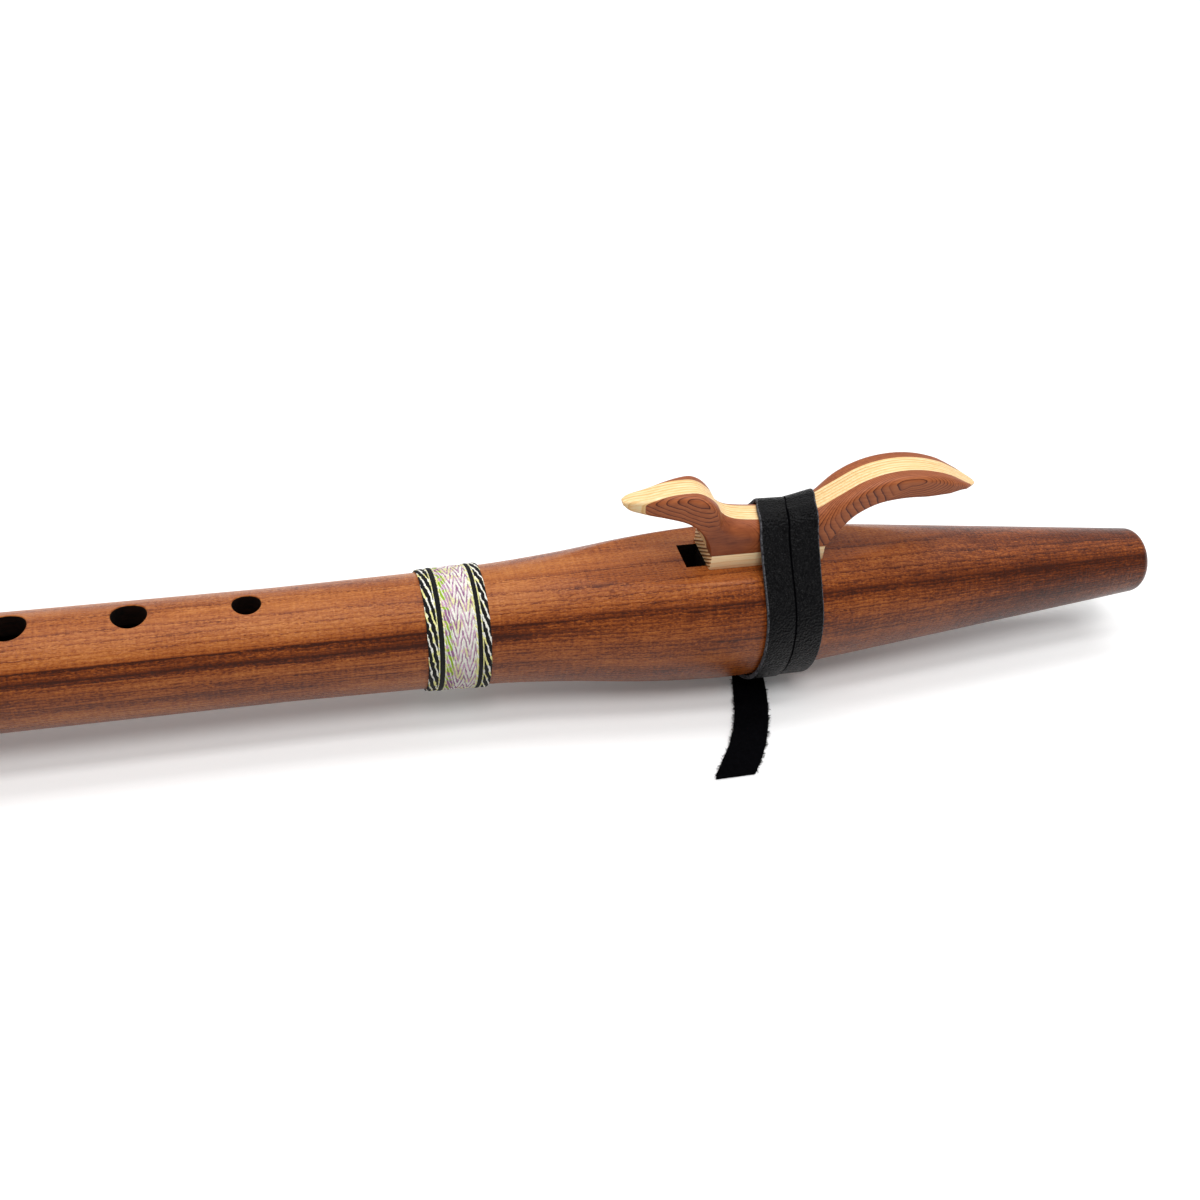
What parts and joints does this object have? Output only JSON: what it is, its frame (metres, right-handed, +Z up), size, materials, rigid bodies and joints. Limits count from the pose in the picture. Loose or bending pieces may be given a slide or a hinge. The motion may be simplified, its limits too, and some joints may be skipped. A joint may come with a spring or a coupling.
{
  "type": "native american flute",
  "caption": "Two-chamber wooden duct flute with a bird-shaped block tied over the flue by a leather strap, finger holes along a round bore, and a woven band round the tube.",
  "frame": {"origin": "centre of the bounding box at its lowest plane, which is the underside of the strap that the flute lies on; the bore's axis is 29.6 mm above it", "axes": "+X along the bore towards the mouth end, +Z up through the finger holes, +Y to the far side that the strap is tied on"},
  "size_m": [0.5274, 0.106, 0.0807],
  "materials": {
    "body_wood": "satin oil",
    "cheek_wood": "satin oil",
    "pale_wood": "satin oil",
    "black_leather": "grained outside, suede inside",
    "woven_trim": "woven"
  },
  "bodies": {
    "flute": {"body_upper_half": "body_wood", "body_lower_half": "body_wood", "woven_band": "woven_trim"},
    "block": {"block_base": "pale_wood", "block_core": "pale_wood", "block_near_cheek": "cheek_wood", "block_far_cheek": "cheek_wood", "leather_strap": "black_leather"}
  },
  "joints": [
    {"name": "block_slide", "type": "slide", "parent": "flute", "child": "block", "axis": [1, 0, 0], "range_m": [-0.003, 0.003]}
  ]
}
